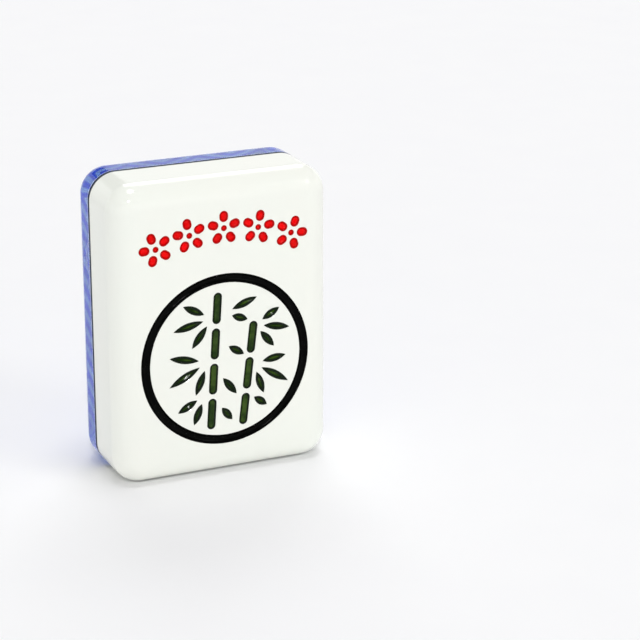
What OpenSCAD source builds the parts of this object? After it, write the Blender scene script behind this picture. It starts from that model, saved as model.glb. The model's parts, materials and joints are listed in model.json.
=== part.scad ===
// Mahjong tile: a white engraved face block, a printed chevron sheet and a clear cap, glued in one stack.
// It stands on its short edge. X runs across the face, Y from the face to the back, Z up. Sizes are in mm.

/* [Tile] */
// Width across the face
tile_w = 22.3; // [18:0.1:28]
// Height of the face
tile_h = 30; // [26:0.1:40]
// Radius of the four corners, seen from the face
corner_r = 2.7; // [1.5:0.1:4]

/* [Layers] */
// Thickness of the white face block
block_t = 6.5; // [3:0.1:12]
// Radius of the soft edge round the face
face_edge_r = 2.3; // [0.8:0.1:3.2]
// Thickness of each of the two glue films
film_t = 0.1; // [0.05:0.01:0.3]
// Thickness of the patterned sheet
sheet_t = 0.35; // [0.15:0.05:1]
// Thickness of the clear cap
cap_t = 4.2; // [2:0.1:8]
// Radius of the rounded edge round the back
back_edge_r = 2.5; // [0.8:0.1:3.5]

/* [Chevron pattern] */
// Width of one zigzag of a stripe
zigzag_w = 7.5; // [4:0.1:16]
// Height from the foot of a zigzag to its peak
zigzag_h = 3.1; // [1:0.1:6]
// Height of a light stripe
light_h = 0.88; // [0.3:0.01:3]
// Height of the dark stripe between two light ones
dark_h = 1.02; // [0.3:0.01:3]
// How far a zigzag's peak lies from the middle of the tile
zigzag_shift = -3.8; // [-8:0.1:8]
// How far a light stripe's foot lies above the middle of the tile
stripe_rise = -0.4; // [-2:0.1:2]
// Angle by which the stripes are turned on the tile
stripe_turn = 2.7; // [-20:0.1:20]
// Depth that the light ink has soaked into the sheet
ink_t = 0.06; // [0.03:0.01:0.12]

/* [Engraving] */
// Depth of a groove as a ball-nosed cutter leaves it
groove_d = 0.34; // [0.26:0.01:0.5]
// Step from the face down to the edge of the paint
paint_step = 0.04; // [0.02:0.01:0.06]
// Thickness of the coat of paint in a groove
paint_t = 0.14; // [0.06:0.01:0.18]

/* [Ring] */
// Width of the ring's groove
ring_w = 0.95; // [0.7:0.01:1.4]
// Flat margin between the ring and the soft edge at each side of the face
ring_margin = 0.15; // [0.05:0.01:1]
// Flat margin between the ring and the soft edge at the foot of the face
foot_margin = 0.9; // [0.1:0.05:2]
// Least distance from the ring up to the row of blossoms
ring_gap = 1; // [0.5:0.05:3]

/* [Blossoms] */
// Distance from one blossom to the next
blossom_gap = 0.1; // [0.05:0.01:0.6]
// Radius of the arc that the row of blossoms follows
row_arc_r = 19.5; // [14:0.1:60]
// Flat margin between the row and the soft edge at each side of the face
row_margin = 0.05; // [0.02:0.01:1]
// Flat margin between the row and the soft edge at the top of the face
top_margin = 0.88; // [0.1:0.02:2]

/* [Bamboo] */
// White margin between the bamboo and the ring
bamboo_margin = 0.45; // [0.2:0.05:2]
// Angle from one leaf of a spray to the next
leaf_fan = 40; // [39:0.5:44]

/* [Back print] */
// Width of a printed line
line_w = 0.5; // [0.2:0.05:0.8]
// Depth that the print is stamped into the clear cap, which it fills flush
print_t = 0.04; // [0.02:0.01:0.1]
// Flat margin between the print's field and the rounded edge at each side of the back
print_margin = 1.15; // [0.1:0.05:3]
// Distance from the tip of the printed stem to the printed blossom
tip_gap = 0.1; // [0.05:0.05:1]

/* [Hidden] */
$fn = 72;
wide_fn = 240;

// Places of the layers, from the face to the back
tile_d = block_t + film_t + sheet_t + film_t + cap_t;
face_y = -tile_d / 2;
block_back_y = face_y + block_t;
sheet_front_y = block_back_y + film_t;
sheet_back_y = sheet_front_y + sheet_t;
cap_front_y = sheet_back_y + film_t;
cap_back_y = cap_front_y + cap_t;
face_round = min(face_edge_r, corner_r, block_t);
back_round = min(back_edge_r, corner_r, cap_t);
face_flat_w = tile_w - 2 * face_round;

// Row of blossoms, side by side on the flat of the face
blossom_count = 5;
petal_count = 5;
blossom_r = (face_flat_w - 2 * row_margin - (blossom_count - 1) * blossom_gap) / blossom_count / 2;
row_step = 2 * asin((2 * blossom_r + blossom_gap) / 2 / row_arc_r);
row_z = tile_h - face_round - top_margin - blossom_r;

// A blossom's dot and petals, in shares of its radius
petal_w = 0.535 * blossom_r;
petal_root = 0.61 * blossom_r;
petal_len = blossom_r - petal_root - petal_w / 2;
dot_w = 0.36 * blossom_r;

// The ring fills the width of the flat face, or the height that the blossoms leave it
ring_foot = face_round + foot_margin;
ring_d = min(face_flat_w - 2 * ring_margin, row_z - blossom_r - ring_gap - ring_foot);
ring_r = (ring_d - ring_w) / 2;
ring_z = ring_foot + ring_d / 2;

// The round field inside the ring, and the bamboo drawn in shares of its radius
field_r = ring_d / 2 - ring_w - bamboo_margin;
stalk_w = 0.123 * field_r;
stalk_wall = 0.055 * field_r;
leaf_w = 0.123 * field_r;
leaf_gap = 0.118 * field_r;

// Stalks: foot, tip and number of joints
tall_stalk = [[-0.22, -0.90], [-0.10, 0.88], 4];
short_stalk = [[0.24, -0.90], [0.40, 0.42], 3];

// Sprays of leaves: root, angle that the spray hangs at, and the length of each leaf
upper_left = [[[-0.18, 0.60], 193, [0.35, 0.46, 0.38]]];
middle_left = [[[-0.25, 0], 208, [0.45, 0.52, 0.38]]];
lower_left = [[[-0.30, -0.46], 228, [0.33, 0.33]]];
upper_middle = [[[-0.02, 0.64], 0, [0.25, 0.40]]];
middle = [
    [[-0.06, 0.24], -32, [0.27]],
    [[-0.12, -0.16], -52, [0.33]],
    [[-0.14, -0.58], -52, [0.25]]
];
upper_right = [[[0.42, 0.42], -10, [0.32, 0.40, 0.30]]];
lower_right = [[[0.40, -0.12], -32, [0.35, 0.48, 0.36]], [[0.30, -0.52], -36, [0.24]]];
all_sprays = concat(upper_left, middle_left, lower_left, upper_middle, middle, upper_right, lower_right);

// The back print is drawn on a grid of squares that fills the flat of the back between its margins
grid_count = 30;
grid = (tile_w - 2 * back_round - 2 * print_margin) / grid_count;
line_end_r = 0.54 * line_w;

// The printed stem is part of a circle, and the blossom stands clear of its tip
stem_r = 12.4 * grid;
stem_centre = [-8.4, 5] * grid;
stem_tip_a = -24;
open_petal_r = 3.5 * grid;
open_petal_out = 4.7 * grid;
open_blossom_r = open_petal_out + open_petal_r + line_w / 2;

// A size that reaches past everything on the tile
far = tile_w + tile_h + tile_d;

function on_circle(r, a) = [r * cos(a), r * sin(a)];

// Radius of the circle of which a chord this long cuts off a segment this high
function segment_r(chord, height) = (chord * chord / 4 + height * height) / (2 * height);

// Depth of a groove that is w wide at the face, kept short of a half circle, and the radius of its cutter
ball_share = 0.45;
function cut_d(w) = min(groove_d, ball_share * w);
function cutter_r(w) = segment_r(w, cut_d(w));

// Ends of each stroke of a stalk: equal lengths with a white wall between their round ends
function stalk_strokes(stalk) =
    let(
        foot = stalk[0] * field_r,
        run = stalk[1] * field_r - foot,
        count = stalk[2],
        way = run / norm(run),
        step = stalk_w + stalk_wall,
        length = (norm(run) - (count - 1) * step) / count
    )
    [for (i = [0:count - 1]) let(a = foot + way * i * (length + step)) [a, a + way * length]];

// Centre and lean of one blossom of the row, with the middle one upright
function blossom_turn(i) = ((blossom_count - 1) / 2 - i) * row_step;
function blossom_place(i) = [0, row_z - row_arc_r] + on_circle(row_arc_r, 90 + blossom_turn(i));

// Plan of a layer, seen from the face, standing on Z = 0
module plan() {
    for (x = [corner_r - tile_w / 2, tile_w / 2 - corner_r], z = [corner_r, tile_h - corner_r])
        translate([x, z]) circle(corner_r);
    translate([-tile_w / 2, corner_r]) square([tile_w, tile_h - 2 * corner_r]);
    translate([corner_r - tile_w / 2, 0]) square([tile_w - 2 * corner_r, tile_h]);
}

// Sets a flat drawing upright, so that its Y is the tile's Z and its thickness grows towards the back
module layer(front_y, t) {
    translate([0, front_y + t, 0]) rotate([90, 0, 0]) linear_extrude(t) children();
}

// Section of a slab near its rim: a corner radius wide, t high, with its upper outer edge rounded
module rim_section(t, edge_r) {
    square([corner_r, t - edge_r]);
    intersection() {
        square([corner_r, t]);
        union() {
            translate([corner_r - edge_r, t - edge_r]) circle(edge_r);
            square([corner_r - edge_r, t]);
        }
    }
}

// Slab lying on its flat side: the rim section follows the plan round its sides and corners
module soft_slab(t, edge_r) {
    half_w = tile_w / 2 - corner_r;
    half_h = tile_h / 2 - corner_r;
    translate([-half_w, -half_h, 0]) cube([2 * half_w, 2 * half_h, t]);
    for (turn = [0, 180]) rotate(turn) {
        translate([half_w, -half_h, 0]) rotate([90, 0, 180])
            mirror([1, 0, 0]) linear_extrude(2 * half_h) rim_section(t, edge_r);
        translate([half_w, half_h, 0]) rotate([90, 0, 270])
            mirror([1, 0, 0]) linear_extrude(2 * half_w) rim_section(t, edge_r);
        translate([half_w, half_h, 0]) rotate_extrude(angle = 90) rim_section(t, edge_r);
        translate([half_w, -half_h, 0]) rotate_extrude(angle = 90, start = -90) rim_section(t, edge_r);
    }
}

// Room below a level, so that what is cut with it ends there
module below(top) {
    translate([-far / 2, -far / 2, top - far]) cube(far);
}

// Round bar with round ends, which stands on the centre of its lower end
module round_bar(length, r) {
    rotate_extrude() intersection() {
        union() {
            for (y = [0, length]) translate([0, y]) circle(r);
            square([r, length]);
        }
        translate([0, -far]) square([far, 2 * far]);
    }
}

// Way of a ball-nosed cutter from one point to another, less a skin; the ball's middle stays above the face
module stroke_body(ends, w, skin) {
    run = ends[1] - ends[0];
    translate([ends[0].x, ends[0].y, cutter_r(w) - cut_d(w)])
        rotate([0, 90, atan2(run.y, run.x)]) round_bar(norm(run), cutter_r(w) - skin);
}

// Groove of such a stroke, or the even coat of paint on its wall, which ends a step below the face
module stroke_mark(ends, w, painted) {
    if (painted)
        difference() {
            intersection() {
                stroke_body(ends, w, 0);
                below(-paint_step);
            }
            stroke_body(ends, w, paint_t);
        }
    else
        stroke_body(ends, w, 0);
}

// Same as a dot, where the cutter only dips in
module dot_body(w, skin) {
    translate([0, 0, cutter_r(w) - cut_d(w)]) sphere(cutter_r(w) - skin);
}

module dot_mark(w, painted) {
    if (painted)
        difference() {
            intersection() {
                dot_body(w, 0);
                below(-paint_step);
            }
            dot_body(w, paint_t);
        }
    else
        dot_body(w, 0);
}

// Section of the ring's groove or of its coat of paint
module ring_section(painted) {
    r = cutter_r(ring_w);
    middle = r - cut_d(ring_w);
    if (painted)
        difference() {
            translate([0, middle]) circle(r);
            translate([0, middle]) circle(r - paint_t);
            translate([-far, -paint_step]) square(2 * far);
        }
    else
        translate([0, middle]) circle(r);
}

// One slanting cut of a leaf: the side of a wide cylinder, which leans out from the keel to the face
module leaf_cut(length, skin) {
    slope = atan2(cut_d(leaf_w), leaf_w / 2);
    r = segment_r(length, sin(slope) * leaf_w / 2);
    translate([length / 2, 0, -cut_d(leaf_w)]) rotate([slope - 90, 0, 0])
        translate([0, -r, -leaf_w]) cylinder(h = 3 * leaf_w, r = r - skin, $fn = wide_fn);
}

// Pointed leaf, carved in two slanting cuts that meet in a keel
module leaf_body(length, skin, top) {
    intersection() {
        leaf_cut(length, skin);
        mirror([0, 1, 0]) leaf_cut(length, skin);
        below(top);
    }
}

module leaf_mark(length, painted) {
    if (painted)
        difference() {
            leaf_body(length, 0, -paint_step);
            leaf_body(length, paint_t, 0);
        }
    else
        leaf_body(length, 0, paint_step);
}

// Places a drawing on the face: X across, Y up from the foot of the tile, Z out of the face
module on_face() {
    translate([0, face_y, 0]) rotate([90, 0, 0]) children();
}

module ring_mark(painted) {
    translate([0, ring_z]) rotate_extrude() translate([ring_r, 0]) ring_section(painted);
}

module blossom_mark(i, painted) {
    translate(blossom_place(i)) rotate(blossom_turn(i)) {
        dot_mark(dot_w, painted);
        for (p = [0:petal_count - 1]) {
            a = 90 + p * 360 / petal_count;
            stroke_mark([on_circle(petal_root, a), on_circle(petal_root + petal_len, a)], petal_w, painted);
        }
    }
}

module stalk_mark(stalk, painted) {
    translate([0, ring_z])
        for (ends = stalk_strokes(stalk)) stroke_mark(ends, stalk_w, painted);
}

module spray_mark(spray, painted) {
    leaves = spray[2];
    middle_leaf = (len(leaves) - 1) / 2;
    translate([0, ring_z]) translate(spray[0] * field_r)
        for (i = [0:len(leaves) - 1])
            rotate(spray[1] + (i - middle_leaf) * leaf_fan)
                translate([leaf_gap, 0]) leaf_mark(leaves[i] * field_r, painted);
}

// Light stripes, each a zigzag band clipped to the plan, all turned about the middle of the tile
module stripes() {
    stripe_pitch = light_h + dark_h;
    half_zigzag = zigzag_w / 2;
    half_diagonal = norm([tile_w, tile_h]) / 2;
    reach = ceil((half_diagonal + abs(zigzag_shift)) / half_zigzag) + 1;
    rows = ceil((half_diagonal + zigzag_h + abs(stripe_rise)) / stripe_pitch);
    lower = [for (k = [-reach:reach]) [zigzag_shift + k * half_zigzag, k % 2 == 0 ? zigzag_h : 0]];
    upper = [for (i = [2 * reach:-1:0]) lower[i] + [0, light_h]];
    intersection() {
        plan();
        translate([0, tile_h / 2]) rotate(stripe_turn)
            for (n = [-rows:rows])
                translate([0, stripe_rise + n * stripe_pitch]) polygon(concat(lower, upper));
    }
}

// Sinks a drawing into the back of the cap: seen from behind, X to the right and Y up from the middle
module in_back(t) {
    translate([0, cap_back_y - print_t, tile_h / 2]) rotate([90, 0, 180]) linear_extrude(t) children();
}

// Round end of a printed line, a little wider than the line as ink leaves it
module line_end() {
    circle(line_end_r);
}

// Line along part of a circle, drawn flat, with a round end at each of the angles in round_ends
module arc_line(r, from, to, round_ends) {
    steps = 8;
    sector = [for (i = [0:steps]) on_circle(2 * (r + line_w), from + (to - from) * i / steps)];
    intersection() {
        difference() {
            circle(r + line_w / 2);
            circle(r - line_w / 2);
        }
        polygon(concat([[0, 0]], sector));
    }
    for (a = round_ends) translate(on_circle(r, a)) line_end();
}

// Outline of a leaf: two arcs from its root, which lies on the middle of another line, to its tip
module leaf_outline(length, sag) {
    r = segment_r(length, sag);
    sweep = asin(length / 2 / r);
    for (side = [-1, 1])
        translate([length / 2, side * (sag - r)]) arc_line(r, side * 90 - sweep, side * 90 + sweep, []);
    translate([length, 0]) line_end();
}

// Line blossom: five open petals round a small circle
module blossom_lines() {
    eye_r = 0.9 * grid;
    sweep = 115;
    lean = 73.5;
    tip = stem_centre + on_circle(stem_r, stem_tip_a);
    translate(tip + on_circle(line_end_r + tip_gap + open_blossom_r, lean)) {
        for (p = [0:petal_count - 1]) {
            a = 90 + p * 360 / petal_count;
            ends = [a - sweep, a + sweep];
            translate(on_circle(open_petal_out, a)) arc_line(open_petal_r, ends[0], ends[1], ends);
        }
        difference() {
            circle(eye_r + line_w);
            circle(eye_r);
        }
    }
}

// Stem that curls in at its foot, with one leaf
module stem_lines() {
    curl_r = 3.2 * grid;
    foot_a = -100;
    curl_a = -330;
    leaf_a = -60;
    leaf_lean = -27;
    translate(stem_centre) {
        arc_line(stem_r, foot_a, stem_tip_a, [foot_a, stem_tip_a]);
        translate(on_circle(stem_r - curl_r, foot_a)) arc_line(curl_r, curl_a, foot_a, [curl_a]);
        translate(on_circle(stem_r, leaf_a)) rotate(leaf_lean) leaf_outline(11 * grid, 1.9 * grid);
    }
}

module face_block() {
    color("#f3f4ef") difference() {
        translate([0, block_back_y, tile_h / 2]) rotate([90, 0, 0]) soft_slab(block_t, face_round);
        on_face() {
            ring_mark(false);
            for (i = [0:blossom_count - 1]) blossom_mark(i, false);
            for (stalk = [tall_stalk, short_stalk]) stalk_mark(stalk, false);
            for (spray = all_sprays) spray_mark(spray, false);
        }
    }
}

module face_glue_film() {
    color("#49524f") layer(block_back_y, film_t) plan();
}

module pattern_sheet() {
    color("#2746b4") difference() {
        layer(sheet_front_y, sheet_t) plan();
        layer(sheet_back_y - ink_t, 2 * ink_t) stripes();
    }
}

module chevron_print() {
    color("#8fb2ee") layer(sheet_back_y - ink_t, ink_t) stripes();
}

module cap_glue_film() {
    color("#dfe6ee", 0.4) layer(sheet_back_y, film_t) plan();
}

module clear_cap() {
    color("#dce8f6", 0.3) difference() {
        translate([0, cap_front_y, tile_h / 2]) rotate([-90, 0, 0]) soft_slab(cap_t, back_round);
        in_back(2 * print_t) {
            blossom_lines();
            stem_lines();
        }
    }
}

module black_ring_paint() {
    color("#101010") on_face() ring_mark(true);
}

module blossom_paint(i) {
    color("#d3080c") on_face() blossom_mark(i, true);
}

module stalk_paint(stalk) {
    color("#2f4a1c") on_face() stalk_mark(stalk, true);
}

module leaf_paint(sprays) {
    color("#2f4a1c") on_face() for (spray = sprays) spray_mark(spray, true);
}

module blossom_print() {
    color("white") in_back(print_t) blossom_lines();
}

module stem_print() {
    color("white") in_back(print_t) stem_lines();
}

face_block();
face_glue_film();
pattern_sheet();
chevron_print();
cap_glue_film();
clear_cap();
black_ring_paint();
blossom_paint(0);  // blossom_paint_1
blossom_paint(1);  // blossom_paint_2
blossom_paint(2);  // blossom_paint_3
blossom_paint(3);  // blossom_paint_4
blossom_paint(4);  // blossom_paint_5
stalk_paint(tall_stalk);  // tall_stalk_paint
stalk_paint(short_stalk);  // short_stalk_paint
leaf_paint(upper_left);  // upper_left_leaf_paint
leaf_paint(middle_left);  // middle_left_leaf_paint
leaf_paint(lower_left);  // lower_left_leaf_paint
leaf_paint(upper_middle);  // upper_middle_leaf_paint
leaf_paint(middle);  // middle_leaf_paint
leaf_paint(upper_right);  // upper_right_leaf_paint
leaf_paint(lower_right);  // lower_right_leaf_paint
blossom_print();
stem_print();
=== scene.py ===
import json
import math

import bpy
import numpy as np
from mathutils import Matrix, Vector


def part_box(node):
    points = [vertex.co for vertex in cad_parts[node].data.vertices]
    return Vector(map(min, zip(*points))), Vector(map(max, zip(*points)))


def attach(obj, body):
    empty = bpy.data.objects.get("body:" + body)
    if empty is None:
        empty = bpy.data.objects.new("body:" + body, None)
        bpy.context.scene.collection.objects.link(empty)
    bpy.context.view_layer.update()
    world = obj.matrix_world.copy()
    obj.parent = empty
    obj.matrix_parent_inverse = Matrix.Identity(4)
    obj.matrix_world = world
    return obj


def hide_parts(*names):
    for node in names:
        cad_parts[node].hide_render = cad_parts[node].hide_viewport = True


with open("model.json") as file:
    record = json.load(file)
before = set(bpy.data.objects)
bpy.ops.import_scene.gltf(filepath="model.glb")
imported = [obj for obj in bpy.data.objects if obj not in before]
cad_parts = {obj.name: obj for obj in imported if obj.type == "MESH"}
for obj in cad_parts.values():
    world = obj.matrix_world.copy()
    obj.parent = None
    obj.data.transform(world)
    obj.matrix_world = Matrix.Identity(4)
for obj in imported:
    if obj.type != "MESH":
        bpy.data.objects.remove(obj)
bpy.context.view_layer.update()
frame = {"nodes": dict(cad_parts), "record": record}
nodes = frame["nodes"]
mm = 0.001
print("frame loaded:", len(nodes), "nodes")


# A value in a shader: arithmetic on it adds Math nodes to the same tree
class Value:
    def __init__(self, shader, socket):
        self.shader = shader
        self.socket = socket

    def math(self, operation, *others):
        sockets = dict(enumerate((self, *others)))
        return self.shader.node("Math", {"operation": operation}, sockets)

    def __add__(self, other):
        return self.math("ADD", other)

    def __sub__(self, other):
        return self.math("SUBTRACT", other)

    def __mul__(self, other):
        return self.math("MULTIPLY", other)

    def __rsub__(self, other):
        return self.shader.node("Math", {"operation": "SUBTRACT"}, {0: other, 1: self})

    __radd__ = __add__
    __rmul__ = __mul__

    def sine(self):
        return self.math("SINE")

    def size(self):
        return self.math("ABSOLUTE")

    # 0 below low, 1 above high, with a smooth rise between them
    def rise(self, low, high):
        limits = {"Value": self, "From Min": low, "From Max": high}
        return self.shader.node("MapRange", {"interpolation_type": "SMOOTHSTEP"}, limits)


# One node tree; node() makes any node from its type, its settings and its sockets' values or links
class Shader:
    def __init__(self, tree):
        self.tree = tree
        tree.nodes.clear()

    def node(self, kind, settings=None, sockets=None, out=0):
        made = self.tree.nodes.new("ShaderNode" + kind)
        for name, setting in (settings or {}).items():
            setattr(made, name, setting)
        for name, value in (sockets or {}).items():
            if isinstance(value, Value):
                self.tree.links.new(value.socket, made.inputs[name])
            else:
                made.inputs[name].default_value = value
        return Value(self, made.outputs[out]) if made.outputs else made

    # Object coordinates in millimetres, turned where a pattern needs it
    def place(self, turn=(0, 0, 0)):
        spot = self.node("TexCoord", out="Object")
        mapping = {"Vector": spot, "Rotation": turn, "Scale": (1 / mm,) * 3}
        return self.node("Mapping", {"vector_type": "POINT"}, mapping)

    def axis(self, vector, name):
        return self.node("SeparateXYZ", None, {"Vector": vector}, out=name)

    def noise(self, spot, size, detail=2, rough=0.5):
        sockets = {"Vector": spot, "Scale": 1 / size, "Detail": detail, "Roughness": rough}
        return self.node("TexNoise", None, sockets)

    # Sockets 6 and 7 of Mix take the colours, and output 2 gives their blend
    def blend(self, share, first, second):
        first, second = [c if isinstance(c, Value) else (*c, 1) for c in (first, second)]
        sockets = {"Factor": share, 6: first, 7: second}
        return self.node("Mix", {"data_type": "RGBA"}, sockets, out=2)

    def bump(self, height, depth, strength=1):
        return self.node("Bump", None, {"Height": height, "Distance": depth, "Strength": strength})

    def principled(self, sockets):
        return self.node("BsdfPrincipled", None, sockets)

    def finish(self, surface, kind="OutputMaterial"):
        self.node(kind, None, {"Surface": surface})


def newMaterial(name):
    material = bpy.data.materials.new(name)
    material.use_nodes = True
    return material, Shader(material.node_tree)


# Display colour, 0 to 255, as the linear values that sockets take
def rgb(red, green, blue):
    display = np.array((red, green, blue)) / 255
    curve = ((display + 0.055) / 1.055) ** 2.4
    linear = np.where(display <= 0.04045, display / 12.92, curve)
    return tuple(float(c) for c in linear)


fineNoise = {"detail": 4, "rough": 0.6}

whiteBody = {
    "base": rgb(249, 249, 241),
    "cloud": rgb(245, 249, 241),
    "cloudSize": 7,
    "smudgeSize": 1.6,
    "smudgeShown": (0.35, 0.75),
    "rough": 0.09,
    "roughSpread": 0.07,
    "peelSize": 0.7,
    "peelDepth": 0.004 * mm,
    "ior": 1.5,
}


# Cast white plastic: faint clouds of colour, handling smudges in the gloss and a little orange peel
def whiteBodyMaterial():
    material, sh = newMaterial("whiteBody")
    spot = sh.place()
    cloud = sh.noise(spot, whiteBody["cloudSize"])
    smudge = sh.noise(spot, whiteBody["smudgeSize"], **fineNoise).rise(*whiteBody["smudgeShown"])
    peel = sh.noise(spot, whiteBody["peelSize"])
    sh.finish(sh.principled({
        "Base Color": sh.blend(cloud, whiteBody["base"], whiteBody["cloud"]),
        "Roughness": smudge * whiteBody["roughSpread"] + whiteBody["rough"],
        "Normal": sh.bump(peel, whiteBody["peelDepth"]),
        "IOR": whiteBody["ior"],
    }))
    return material


# In each paint, the rim colour is painted shade: a darker colour laid at the rim of the groove
paints = {
    "red": {
        "rim": rgb(178, 0, 0),
        "thick": rgb(232, 0, 0),
        "thin": rgb(255, 4, 8),
        "rough": 0.09,
        "shine": 0.1,
    },
    "black": {
        "rim": rgb(1, 1, 1),
        "thick": rgb(2, 2, 2),
        "thin": rgb(7, 8, 7),
        "rough": 0.11,
        "shine": 0.04,
    },
    "green": {
        "rim": rgb(4, 22, 0),
        "thick": rgb(20, 46, 2),
        "thin": rgb(62, 88, 28),
        "rough": 0.09,
        "shine": 0.15,
    },
    "rimDepth": (0.045, 0.12),  # mm below the face between which the painted rim shade gives way to the coat
    "poolSize": 1.2,
    "poolShown": (0.3, 0.7),
    "grainSize": 0.12,
    "waveSize": 0.42,
    "waveDepth": 0.014 * mm,
    "roughSpread": 0.06,
}


# Hand-filled paint: painted shade darkens the rim of its groove, pooled in colour below, with a
# wavy skin
def paintMaterial(color):
    material, sh = newMaterial(color + "Paint")
    look = paints[color]
    spot = sh.place()
    pool = sh.noise(spot, paints["poolSize"], detail=3).rise(*paints["poolShown"])
    grain = sh.noise(spot, paints["grainSize"])
    wave = sh.noise(spot, paints["waveSize"])
    depth = sh.axis(spot, "Y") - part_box("face_block")[0].y / mm
    coat = sh.blend(pool, look["thick"], look["thin"])
    sh.finish(sh.principled({
        # Painted shade: the coat is darkened near the face, at the rim of its groove
        "Base Color": sh.blend(depth.rise(*paints["rimDepth"]), look["rim"], coat),
        "Roughness": grain * paints["roughSpread"] + look["rough"],
        "Normal": sh.bump(wave, paints["waveDepth"]),
        "Specular IOR Level": look["shine"],
    }))
    return material


weave = {
    "pitch": 0.26,
    "turn": math.radians(2.7),
    "deep": rgb(12, 76, 240),
    "fleck": rgb(50, 120, 255),
    "light": rgb(160, 199, 255),
    "lightFleck": rgb(132, 176, 255),
    "edge": rgb(40, 48, 62),
    "edgeTurn": (0.3, 0.6),    # how far a face has to look along Y to show the cloth
    "wornSize": 0.5,
    "wornShare": 0.9,
    "cloudSize": 3,
    "cloudShare": 0.5,
    "fleckShown": (0.6, 1.5),
    "rough": 0.6,
    "roughSpread": 0.2,
    "depth": 0.02 * mm,
    "relief": 0.5,
    "ior": 1.3,
}


# Plain weave: crossing threads, where every second crossing shows a fleck, more so in worn places
def weaveMaterial(name, ground, fleck):
    material, sh = newMaterial(name)
    spot = sh.place(turn=(0, weave["turn"], 0))
    threads = math.pi / weave["pitch"]
    crossing = (sh.axis(spot, "X") * threads).sine() * (sh.axis(spot, "Z") * threads).sine()
    worn = sh.noise(spot, weave["wornSize"], detail=3)
    cloud = sh.noise(spot, weave["cloudSize"])
    shown = crossing + worn * weave["wornShare"] + cloud * weave["cloudShare"]
    cloth = sh.blend(shown.rise(*weave["fleckShown"]), ground, fleck)
    outward = sh.node("NewGeometry", out="True Normal")
    flatness = sh.axis(outward, "Y").size().rise(*weave["edgeTurn"])
    sh.finish(sh.principled({
        "Base Color": sh.blend(flatness, weave["edge"], cloth),
        "Roughness": worn * weave["roughSpread"] + weave["rough"],
        "Normal": sh.bump(crossing, weave["depth"], weave["relief"]),
        "IOR": weave["ior"],
    }))
    return material


glue = {
    "dark": rgb(66, 76, 74),
    "spot": rgb(88, 98, 94),
    "spotSize": 0.5,
    "spotShown": (0.35, 0.7),
    "rough": 0.3,
    "roughSpread": 0.2,
}


def glueMaterial():
    material, sh = newMaterial("darkGlue")
    share = sh.noise(sh.place(), glue["spotSize"], detail=3).rise(*glue["spotShown"])
    sh.finish(sh.principled({
        "Base Color": sh.blend(share, glue["dark"], glue["spot"]),
        "Roughness": share * glue["roughSpread"] + glue["rough"],
    }))
    return material


ink = {
    "white": rgb(250, 250, 251),
    "thin": rgb(232, 236, 246),
    "grainSize": 0.2,
    "grainShown": (0.35, 0.8),
    "grainDepth": 0.004 * mm,
    "rough": 0.35,
    "roughSpread": 0.2,
}


def inkMaterial():
    material, sh = newMaterial("whiteInk")
    grain = sh.noise(sh.place(), ink["grainSize"], detail=3).rise(*ink["grainShown"])
    sh.finish(sh.principled({
        "Base Color": sh.blend(grain, ink["white"], ink["thin"]),
        "Roughness": grain * ink["roughSpread"] + ink["rough"],
        "Normal": sh.bump(grain, ink["grainDepth"]),
    }))
    return material


acrylic = {
    "tint": (0.985, 0.992, 1.0),
    "smear": (0.96, 0.975, 0.99),
    "smearSize": 3.5,
    "smearShown": (0.4, 0.8),
    "mirrorTint": (0.25, 0.27, 0.32, 1),
    "rough": 0.012,
    "roughSpread": 0.03,
    "depthTint": (0.6, 0.76, 0.98, 1),
    "depthDensity": 0.04 / mm,
    "ior": 1.49,
}


# Clear plastic with faint smears, which takes a little colour from the depth that light crosses
def acrylicMaterial():
    material, sh = newMaterial("clearAcrylic")
    smear = sh.noise(sh.place(), acrylic["smearSize"], **fineNoise).rise(*acrylic["smearShown"])
    surface = sh.principled({
        "Base Color": sh.blend(smear, acrylic["tint"], acrylic["smear"]),
        "Roughness": smear * acrylic["roughSpread"] + acrylic["rough"],
        "Transmission Weight": 1.0,
        "Specular Tint": acrylic["mirrorTint"],
        "IOR": acrylic["ior"],
    })
    depth = {"Color": acrylic["depthTint"], "Density": acrylic["depthDensity"]}
    inside = sh.node("VolumeAbsorption", None, depth)
    sh.node("OutputMaterial", None, {"Surface": surface, "Volume": inside})
    return material


finishes = {
    "white_body": whiteBodyMaterial(),
    "dark_glue": glueMaterial(),
    "blue_sheet": weaveMaterial("blueSheet", weave["deep"], weave["fleck"]),
    "light_ink": weaveMaterial("lightInk", weave["light"], weave["lightFleck"]),
    "clear_acrylic": acrylicMaterial(),
    "black_paint": paintMaterial("black"),
    "red_paint": paintMaterial("red"),
    "green_paint": paintMaterial("green"),
    "white_ink": inkMaterial(),
}
print("finishes made:", len(finishes))


# CAD nodes keep their meshes and get the finish of their slot
for subpart in frame["record"]["subparts"]:
    finish = finishes.get(subpart["material_slot"])
    if finish:
        cadMesh = nodes[subpart["node"]].data
        cadMesh.materials.clear()
        cadMesh.materials.append(finish)


# Edges sharper than the angle are split, and light runs smoothly over the rest
def evenShading(piece, splitAngle):
    split = piece.modifiers.new("split", "EDGE_SPLIT")
    split.split_angle = splitAngle
    even = piece.modifiers.new("even", "WEIGHTED_NORMAL")
    even.mode = "FACE_AREA"


blockShading = {"weld": 0.0005 * mm, "splitAngle": math.radians(32)}


# The block's loose CAD triangles are joined by a modifier, for shading only
def shadeBlock():
    block = nodes["face_block"]
    weld = block.modifiers.new("weld", "WELD")
    weld.merge_threshold = blockShading["weld"]
    evenShading(block, blockShading["splitAngle"])


shadeBlock()
print("CAD nodes dressed")


# Quads between the rows of a grid of points, where each row is closed into a ring
def ringQuads(rows, columns):
    index = np.arange(rows * columns).reshape(rows, columns)
    after = np.roll(index, -1, axis=1)
    corners = (index[:-1], index[1:], after[1:], after[:-1])
    return index, np.stack(corners, axis=-1).reshape(-1, 4).tolist()


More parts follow.
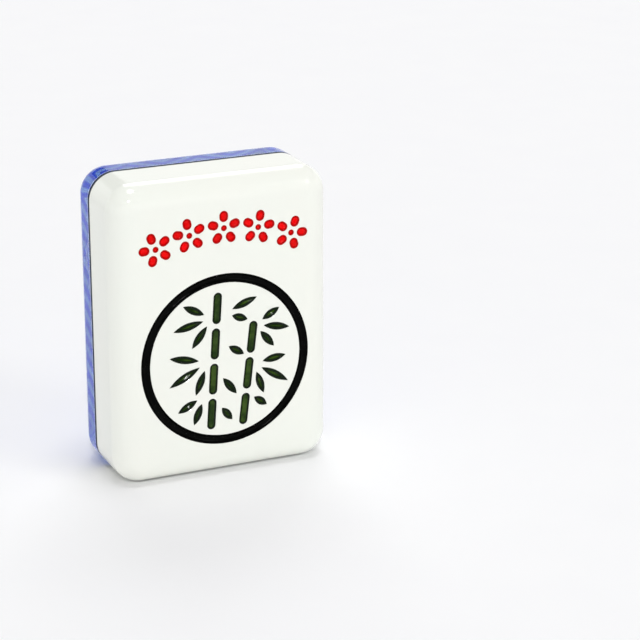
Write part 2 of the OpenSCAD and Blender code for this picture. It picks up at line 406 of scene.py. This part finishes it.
def newPiece(name, points, faces, material):
    mesh = bpy.data.meshes.new(name)
    mesh.from_pydata(points.reshape(-1, 3).tolist(), [], faces)
    mesh.materials.append(material)
    piece = bpy.data.objects.new(name, mesh)
    bpy.context.scene.collection.objects.link(piece)
    return piece


capShape = {
    "cornerRadius": 2.7 * mm,
    "edgeRadius": 2.5 * mm,
    "dip": 0.03 * mm,        # how far the cap sinks into the sheet, so that no air shows between
    "footInset": 0.03 * mm,
    "glueLine": 0.025 * mm,  # depth of the fine line at the glue
    "backDrop": 0.004 * mm,  # the stamped lines stand this much proud
    "cornerSteps": 28,
    "edgeSteps": 28,
    "sideSteps": 6,
    "splitAngle": math.radians(28),
}


# Rounded rectangle in X and Z: four quarter circles joined by straight sides, with the outward
# direction at each point
def roundedPath(width, low, high, radius, steps):
    turn = np.linspace(0, np.pi / 2, steps + 1)
    start = np.arange(4)[:, None] * np.pi / 2
    angle = (start + turn[None, :]).ravel()
    out = np.stack((np.cos(angle), np.sin(angle)), axis=1)
    signs = np.repeat(np.array([[1, 1], [-1, 1], [-1, -1], [1, -1]]), steps + 1, axis=0)
    half = np.array((width / 2 - radius, (high - low) / 2 - radius))
    middle = np.array((0, (high + low) / 2))
    return middle + signs * half + radius * out, out


# Profile from foot to back as pairs of inset and depth: a small foot, a fine line at the glue,
# a straight side and a quarter circle that ends on the flat back
def capProfile(shape, foot, glueDepth, back):
    edge = shape["edgeRadius"]
    turn = np.linspace(0, np.pi / 2, shape["edgeSteps"] + 1)
    rounded = np.stack((edge * (1 - np.cos(turn)), back - edge + edge * np.sin(turn)), axis=1)
    line = shape["glueLine"]
    side = np.linspace(glueDepth + line, back - edge, shape["sideSteps"] + 1)[:-1]
    straight = np.stack((np.zeros_like(side), side), axis=1)
    start = np.array((
        (shape["footInset"], foot - shape["dip"]),
        (0, foot),
        (0, glueDepth - line),
        (line, glueDepth),
    ))
    return np.vstack((start, straight, rounded))


# Surface of the profile carried round the path: each path point moves inwards by the inset, and
# both ends are closed flat
def makeCap():
    low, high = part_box("clear_cap")
    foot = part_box("pattern_sheet")[1].y
    shape = capShape
    width, radius = high.x - low.x, shape["cornerRadius"]
    path, out = roundedPath(width, low.z, high.z, radius, shape["cornerSteps"])
    profile = capProfile(shape, foot, low.y, high.y - shape["backDrop"])
    flat = path[None, :, :] - profile[:, 0, None, None] * out[None, :, :]
    depth = np.broadcast_to(profile[:, 1, None], flat.shape[:2])
    points = np.stack((flat[..., 0], depth, flat[..., 1]), axis=-1)
    index, quads = ringQuads(*points.shape[:2])
    faces = quads + [index[0].tolist(), index[-1][::-1].tolist()]
    cap = newPiece("clearCap", points, faces, finishes["clear_acrylic"])
    cap.data.polygons.foreach_set("use_smooth", np.ones(len(faces), bool))
    evenShading(cap, shape["splitAngle"])
    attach(cap, "root")
    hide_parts("clear_cap", "cap_glue_film")
    print("cap:", len(points), "x", len(path))


makeCap()


studio = {
    "floorRadius": 1.5,
    "wallHeight": 0.6,  # low white wall all round, behind everything that a level camera sees
    "rimSteps": 96,
    "floorColor": rgb(250, 250, 251),
    "floorCloud": rgb(247, 247, 249),
    "floorGrain": 8,
    "floorRough": 0.85,
    "floorRoughSpread": 0.1,
    "wallLight": 1.0,
    "worldLight": 0.23,
    "lampAim": (0, 0, 0.015),
    "lamps": [
        # name, place, size, power
        ("keyLamp", (-0.75, -2.05, 1.9), 0.22, 18),
        ("fillLamp", (1.6, -2.0, 1.5), 0.9, 8),
        ("topLamp", (0.1, -0.1, 3.0), 1.0, 29),
        ("backLamp", (0.9, 2.1, 2.2), 1.8, 26),
    ],
}


# White paper with the faintest grain
def floorMaterial():
    material, sh = newMaterial("paperFloor")
    grain = sh.noise(sh.place(), studio["floorGrain"], detail=3)
    sh.finish(sh.principled({
        "Base Color": sh.blend(grain, studio["floorColor"], studio["floorCloud"]),
        "Roughness": grain * studio["floorRoughSpread"] + studio["floorRough"],
        "Specular IOR Level": 0.0,
    }))
    return material


def wallMaterial():
    material, sh = newMaterial("paperWall")
    white = {"Color": (1, 1, 1, 1), "Strength": studio["wallLight"]}
    sh.finish(sh.node("Emission", None, white))
    return material


# Rings of points round the origin, each as radius and height, joined to a surface
def ringSurface(name, rings, material):
    turn = np.linspace(0, 2 * np.pi, studio["rimSteps"], endpoint=False)
    radius, height = np.array(rings).T
    across = radius[:, None] * np.cos(turn)
    along = radius[:, None] * np.sin(turn)
    up = np.broadcast_to(height[:, None], across.shape)
    quads = ringQuads(*across.shape)[1]
    surface = newPiece(name, np.stack((across, along, up), axis=-1), quads, material)


def makeStage():
    rim = studio["floorRadius"]
    ringSurface("floor", [(rim, 0), (0, 0)], floorMaterial())
    ringSurface("wall", [(rim, 0), (rim, studio["wallHeight"])], wallMaterial())


def makeWorld():
    world = bpy.data.worlds.new("studio")
    world.use_nodes = True
    sh = Shader(world.node_tree)
    white = {"Color": (1, 1, 1, 1), "Strength": studio["worldLight"]}
    sh.finish(sh.node("Background", None, white), "OutputWorld")
    bpy.context.scene.world = world


def makeLamps():
    for name, place, size, power in studio["lamps"]:
        data = bpy.data.lights.new(name, "AREA")
        data.energy = power
        data.size = size
        lamp = bpy.data.objects.new(name, data)
        lamp.location = place
        aim = Vector(studio["lampAim"]) - Vector(place)
        lamp.rotation_euler = aim.to_track_quat("-Z", "Y").to_euler()
        lamp.visible_camera = False
        bpy.context.scene.collection.objects.link(lamp)


photoCamera = {
    "place": (-77.77, -200.02, 87.11),  # mm
    "right": (0.9114, -0.4114, 0.0),
    "forward": (0.3895, 0.8628, -0.3222),
    "focalPixels": 2299.7,
    "framePixels": 640,
    "sensor": 36,
    "clipStart": 0.01,
}


def makeCamera():
    view = photoCamera
    data = bpy.data.cameras.new("photoCamera")
    data.sensor_width = view["sensor"]
    data.lens = view["focalPixels"] / view["framePixels"] * view["sensor"]
    data.clip_start = view["clipStart"]
    camera = bpy.data.objects.new("photoCamera", data)
    right, forward = Vector(view["right"]).normalized(), Vector(view["forward"]).normalized()
    axes = Matrix((right, right.cross(forward), -forward)).transposed()
    camera.matrix_world = Matrix.Translation(Vector(view["place"]) * mm) @ axes.to_4x4()
    bpy.context.scene.collection.objects.link(camera)
    bpy.context.scene.camera = camera


makeStage()
makeWorld()
makeLamps()
makeCamera()
bpy.context.scene.view_settings.view_transform = "Standard"
print("studio ready")
